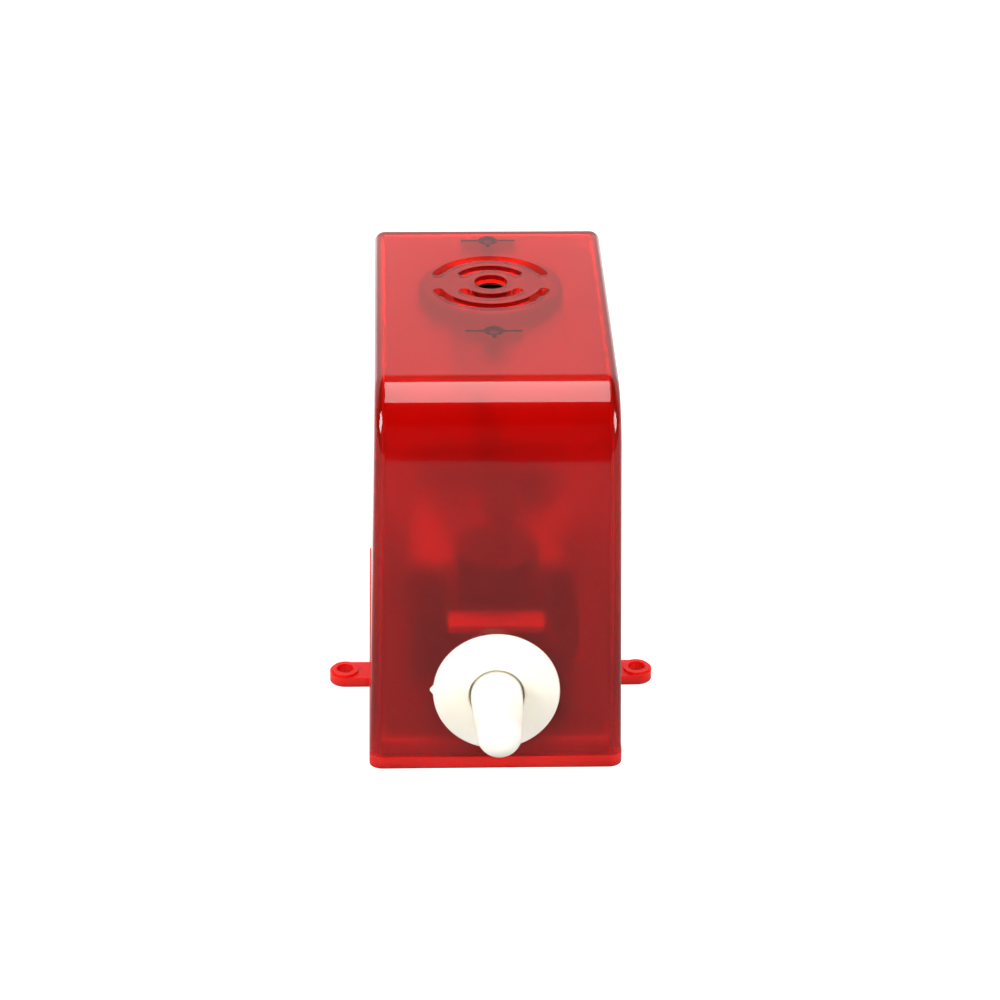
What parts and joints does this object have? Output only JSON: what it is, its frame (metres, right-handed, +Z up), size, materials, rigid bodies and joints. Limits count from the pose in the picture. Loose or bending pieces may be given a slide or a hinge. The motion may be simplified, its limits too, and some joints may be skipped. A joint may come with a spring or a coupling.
{
  "type": "alarm siren",
  "caption": "door or cabinet plunger alarm: translucent box with a round sound grille on a screwed base, with a sprung plunger switch low on its front",
  "frame": {"origin": "middle of the underside of the base plate", "axes": "+X to the right, +Y to the back, away from the plunger, +Z up through the grille"},
  "size_m": [0.0774, 0.1253, 0.092],
  "materials": {
    "red_cover": "polished translucent styrene, injection moulded",
    "red_base": "moulded styrene, translucent red",
    "white_nylon": "moulded nylon, warm white",
    "white_acetal": "moulded acetal, warm white",
    "zinc_steel": "zinc plated steel",
    "black_steel": "blackened steel",
    "spring_steel": "drawn spring steel",
    "black_abs": "moulded black ABS",
    "tinned_brass": "stamped brass",
    "battery_jacket": "printed steel jacket, plain",
    "grey_foam": "closed cell foam",
    "wire_cover": "PVC covered wire",
    "pale_laminate": "phenolic paper laminate",
    "ferrite": "sintered ferrite",
    "copper_wire": "copper wire under a dark enamel",
    "chip_resin": "moulded epoxy resin",
    "capacitor_sleeve": "shrunk PVC sleeve on an aluminium can",
    "resistor_coat": "baked resin coat"
  },
  "bodies": {
    "housing": {"cover": "red_cover", "base_plate": "red_base", "cover_screws": "zinc_steel", "switch_body": "white_nylon", "guide_nut": "white_nylon", "barrel_cap": "white_nylon", "plunger_spring": "spring_steel", "microswitch_case": "black_abs", "microswitch_terminals": "tinned_brass", "switch_bracket": "black_abs", "switch_screws": "zinc_steel", "battery_box": "black_abs", "battery": "battery_jacket", "battery_terminals": "tinned_brass", "battery_snap": "black_abs", "battery_pad": "grey_foam", "battery_leads": "wire_cover", "circuit_board": "pale_laminate", "board_screws": "zinc_steel", "coil_core": "ferrite", "choke_coil": "copper_wire", "driver_chip": "chip_resin", "chip_legs": "tinned_brass", "capacitor": "capacitor_sleeve", "transistor": "chip_resin", "resistors": "resistor_coat", "diode": "chip_resin", "buzzer_case": "black_abs", "buzzer_disc": "tinned_brass", "buzzer_strap": "red_base", "buzzer_screws": "black_steel", "buzzer_leads": "wire_cover", "switch_leads": "wire_cover"},
    "plunger": {"plunger": "white_acetal", "plunger_cam": "white_acetal"},
    "lever": {"microswitch_lever": "spring_steel"},
    "button": {"microswitch_button": "black_abs"}
  },
  "joints": [
    {"name": "plunger_slide", "type": "slide", "parent": "housing", "child": "plunger", "axis": [0, 0.9976, -0.0692], "range_m": [0, 0.008], "stiffness_N_per_m": 250, "springref_m": -0.006, "deforming": ["plunger_spring"]},
    {"name": "lever_tilt", "type": "hinge", "parent": "housing", "child": "lever", "pos_m": [0.0056, -0.0149, 0.01772], "axis": [0, 0.0692, 0.9976], "range_deg": [0, 9.4]},
    {"name": "button_press", "type": "slide", "parent": "housing", "child": "button", "axis": [1, 0, 0], "range_m": [0, 0.00075]}
  ],
  "couplings": [
    {"joint": "lever_tilt", "follows": "plunger_slide", "rad_per_m": 19.9},
    {"joint": "button_press", "follows": "plunger_slide", "ratio": 0.0893}
  ]
}
